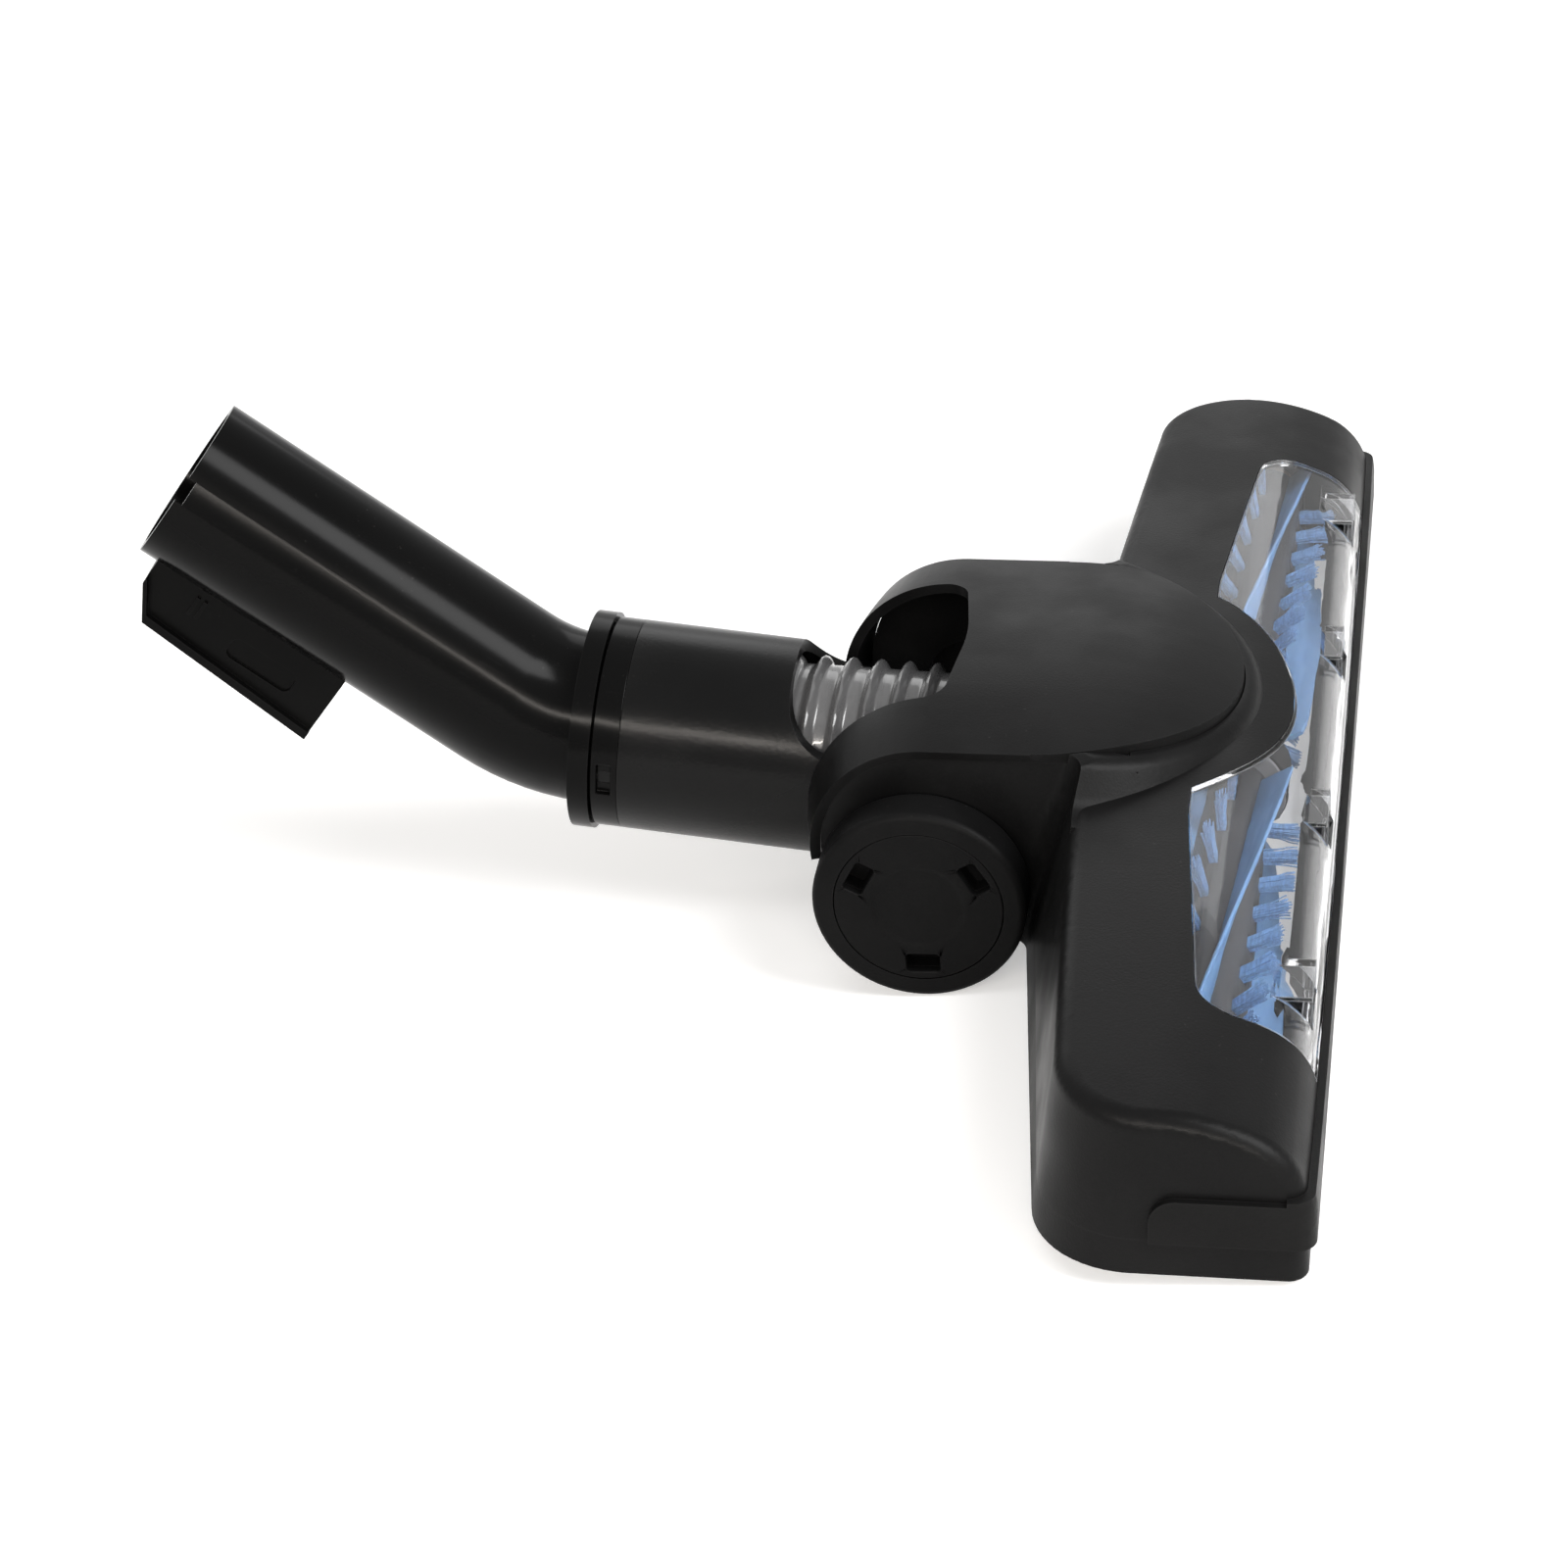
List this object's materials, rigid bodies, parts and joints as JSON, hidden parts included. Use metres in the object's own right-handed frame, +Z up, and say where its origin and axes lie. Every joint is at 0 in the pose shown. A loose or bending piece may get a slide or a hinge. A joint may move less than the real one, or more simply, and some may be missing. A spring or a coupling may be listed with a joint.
{
  "type": "vacuum floor brush head",
  "caption": "Air-driven vacuum floor brush head: wide moulded head with a clear window over a spiral brush roller, rear wheels, tilting hose neck and swivelling wand elbow.",
  "frame": {"origin": "on the floor, under the middle of the whole object's box", "axes": "+X towards the window and bumper, -X towards the wand socket, +Y along the brush roller, +Z up from the floor"},
  "size_m": [0.2522, 0.297, 0.1164],
  "materials": {
    "housing_plastic": "fine moulded texture, black",
    "cover_plastic": "satin moulded texture, black",
    "base_plastic": "moulded black",
    "window_clear": "clear moulded plastic",
    "bumper_plastic": "soft black",
    "wheel_plastic": "moulded black",
    "neck_plastic": "fine moulded texture, black",
    "gloss_black": "polished black",
    "hose_grey": "silver grey",
    "bristle_blue": "blue bristle",
    "blade_blue": "blue flexible strip",
    "roller_grey": "grey moulded",
    "inner_grey": "grey moulded",
    "steel": "bright",
    "bronze": "sintered",
    "belt_rubber": "black"
  },
  "bodies": {
    "head": {"upper_housing": "housing_plastic", "turbine_cover": "cover_plastic", "window": "window_clear", "lower_housing": "base_plastic", "front_bumper": "bumper_plastic", "sole_plate": "base_plastic", "base_screws": "steel", "left_roller_bush": "bronze", "right_roller_bush": "bronze", "turbine_casing": "inner_grey", "drive_belt": "belt_rubber", "left_turbine_bearing": "bronze", "right_turbine_bearing": "bronze", "left_axle_pin": "steel", "right_axle_pin": "steel"},
    "neck": {"neck_tube": "neck_plastic", "swivel_collar": "gloss_black", "corrugated_hose": "hose_grey", "hose_cuff": "inner_grey", "swivel_retainer": "inner_grey"},
    "elbow": {"elbow_tube": "gloss_black", "parking_clip": "gloss_black"},
    "left_wheel": {"left_wheel": "wheel_plastic", "left_hub_cap": "wheel_plastic"},
    "right_wheel": {"right_wheel": "wheel_plastic", "right_hub_cap": "wheel_plastic"},
    "brush": {"roller_blades": "blade_blue", "bristle_tufts": "bristle_blue", "roller_core": "roller_grey", "roller_shaft": "steel", "roller_pulley": "inner_grey"},
    "turbine": {"turbine_wheel": "inner_grey", "turbine_shaft": "steel", "drive_pinion": "steel"}
  },
  "joints": [
    {"name": "neck_tilt", "type": "hinge", "parent": "head", "child": "neck", "pos_m": [0.04187, 0, 0.02525], "axis": [0, 1, 0], "range_deg": [0, 60], "deforming": ["corrugated_hose"]},
    {"name": "elbow_swivel", "type": "hinge", "parent": "neck", "child": "elbow", "pos_m": [0.04187, 0, 0.02525], "axis": [-0.9819, 0, 0.1895], "range_deg": [-90, 90]},
    {"name": "left_wheel_spin", "type": "hinge", "parent": "head", "child": "left_wheel", "pos_m": [0.0411, 0, 0.022], "axis": [0, 1, 0], "continuous": true},
    {"name": "right_wheel_spin", "type": "hinge", "parent": "head", "child": "right_wheel", "pos_m": [0.0411, 0, 0.022], "axis": [0, 1, 0], "continuous": true},
    {"name": "brush_spin", "type": "hinge", "parent": "head", "child": "brush", "pos_m": [0.10149, 0, 0.01816], "axis": [0, 1, 0], "continuous": true},
    {"name": "turbine_spin", "type": "hinge", "parent": "head", "child": "turbine", "pos_m": [0.06789, 0, 0.0292], "axis": [0, 1, 0], "continuous": true}
  ],
  "couplings": [
    {"joint": "turbine_spin", "follows": "brush_spin", "ratio": 2}
  ]
}
